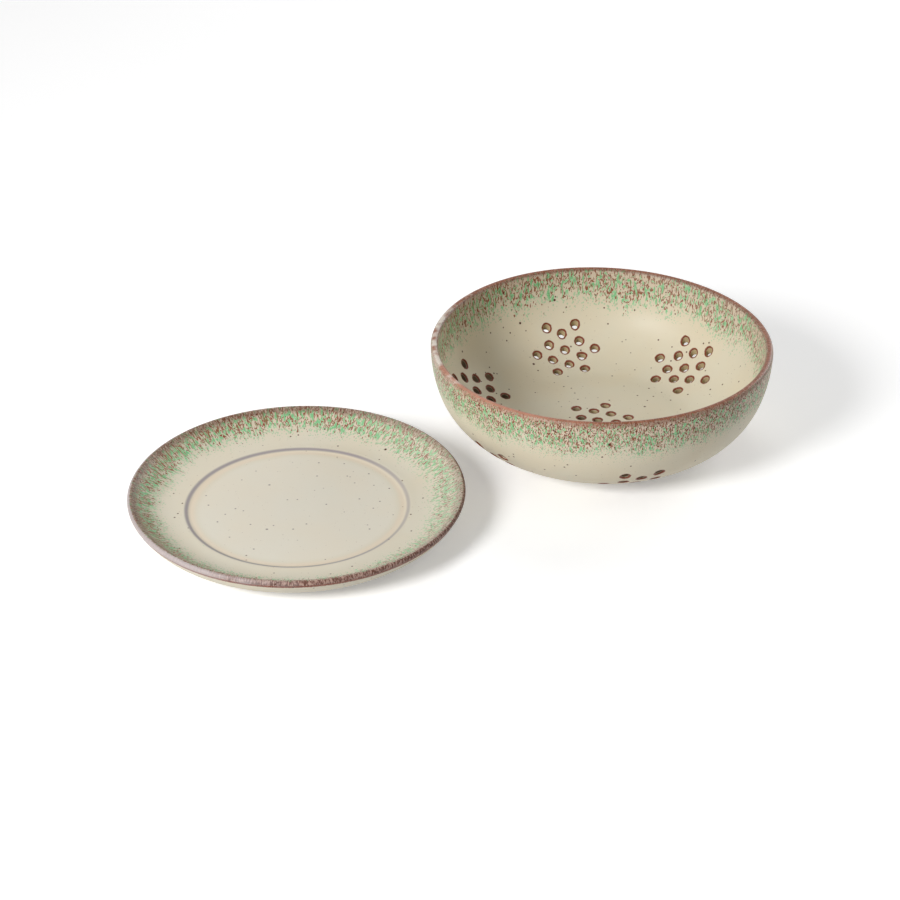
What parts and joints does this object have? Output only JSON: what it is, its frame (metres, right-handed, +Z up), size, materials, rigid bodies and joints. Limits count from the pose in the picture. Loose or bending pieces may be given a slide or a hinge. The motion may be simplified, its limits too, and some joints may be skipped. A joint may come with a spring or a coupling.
{
  "type": "berry colander bowl",
  "caption": "Low round stoneware berry bowl with star clusters of drain holes, and a matching drip saucer with a shallow well for the bowl's foot.",
  "frame": {"origin": "on the table, under the middle of the pair's box", "axes": "+Z up, +X to the right as the pair is pictured, +Y away from the camera"},
  "size_m": [0.3262, 0.2558, 0.056],
  "materials": {
    "bowl_glaze": "satin cream glaze with iron specks, green reactive band and bare brown lip",
    "saucer_glaze": "satin cream glaze with iron specks, green reactive band and bare brown lip"
  },
  "bodies": {
    "saucer": {"drip_saucer": "saucer_glaze"},
    "bowl": {"colander_bowl": "bowl_glaze"}
  },
  "joints": [
    {"name": "bowl_lift", "type": "slide", "parent": "saucer", "child": "bowl", "axis": [0, 0, 1], "range_m": [0, 0.15]}
  ]
}
